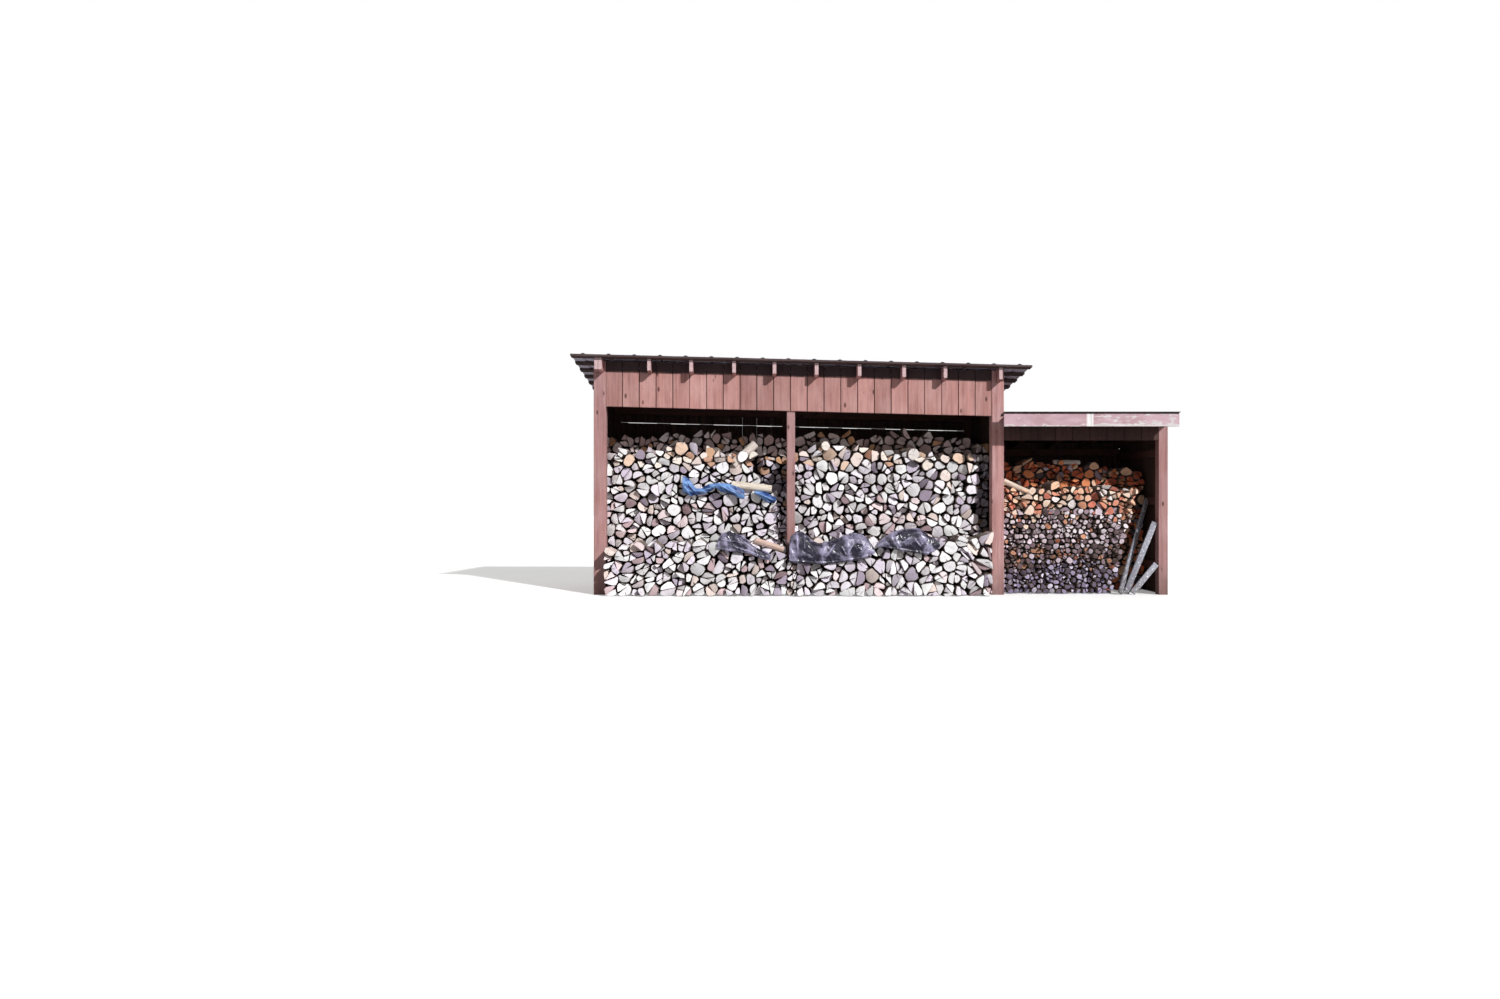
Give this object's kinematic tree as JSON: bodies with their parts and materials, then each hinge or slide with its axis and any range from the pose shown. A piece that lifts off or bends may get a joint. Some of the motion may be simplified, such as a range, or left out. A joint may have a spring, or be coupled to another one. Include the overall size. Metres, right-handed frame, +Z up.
{
  "type": "log store",
  "caption": "Open-fronted timber log store with a single-pitch metal roof and a lower side bay, filled with stacked split firewood.",
  "frame": {"origin": "under the foot of the middle front post, on the ground, at the centre of its foot", "axes": "+X to the right along the open front, +Y to the back, +Z up"},
  "size_m": [7.472, 2.342, 2.9932],
  "materials": {
    "stained_timber": "rough sawn, brown stain",
    "roof_metal": "weathered galvanised",
    "bare_board": "bare, grey",
    "fascia_paint": "peeling pink paint",
    "roof_cover": "dark",
    "firewood_grey": "weathered split logs",
    "firewood_orange": "fresh split logs",
    "black_plastic": "crumpled sheet",
    "blue_plastic": "crumpled sheet",
    "old_plank": "weathered grey"
  },
  "bodies": {
    "root": {"black_sheet_left": "black_plastic", "black_sheet_middle": "black_plastic", "black_sheet_right": "black_plastic", "blue_sheet": "blue_plastic", "firewood_back_row_left": "firewood_grey", "firewood_back_row_right": "firewood_grey", "firewood_back_row_side": "firewood_orange", "firewood_core_left": "firewood_grey", "firewood_core_right": "firewood_grey", "firewood_core_side": "firewood_orange", "firewood_front_row_left": "firewood_grey", "firewood_front_row_right": "firewood_grey", "firewood_front_row_side": "firewood_orange", "firewood_low_row_left": "firewood_grey", "firewood_low_row_right": "firewood_grey", "front_band": "stained_timber", "front_beam": "stained_timber", "front_post_left": "stained_timber", "front_post_middle": "stained_timber", "front_post_right": "stained_timber", "leaning_planks": "old_plank", "rafters": "stained_timber", "rear_beam": "stained_timber", "rear_posts": "stained_timber", "rear_rails": "stained_timber", "rear_wall": "stained_timber", "roof_battens": "bare_board", "roof_panels": "roof_metal", "side_bay_fascia": "fascia_paint", "side_bay_front_beam": "stained_timber", "side_bay_front_post": "stained_timber", "side_bay_header": "stained_timber", "side_bay_rafters": "stained_timber", "side_bay_rails": "stained_timber", "side_bay_rear_beam": "stained_timber", "side_bay_rear_posts": "stained_timber", "side_bay_rear_rails": "stained_timber", "side_bay_rear_wall": "stained_timber", "side_bay_roof_cover": "roof_cover", "side_bay_roof_deck": "bare_board", "side_bay_wall": "stained_timber", "side_rails_left": "stained_timber", "side_rails_right": "stained_timber", "side_wall_left": "stained_timber", "side_wall_right": "stained_timber"}
  },
  "joints": []
}
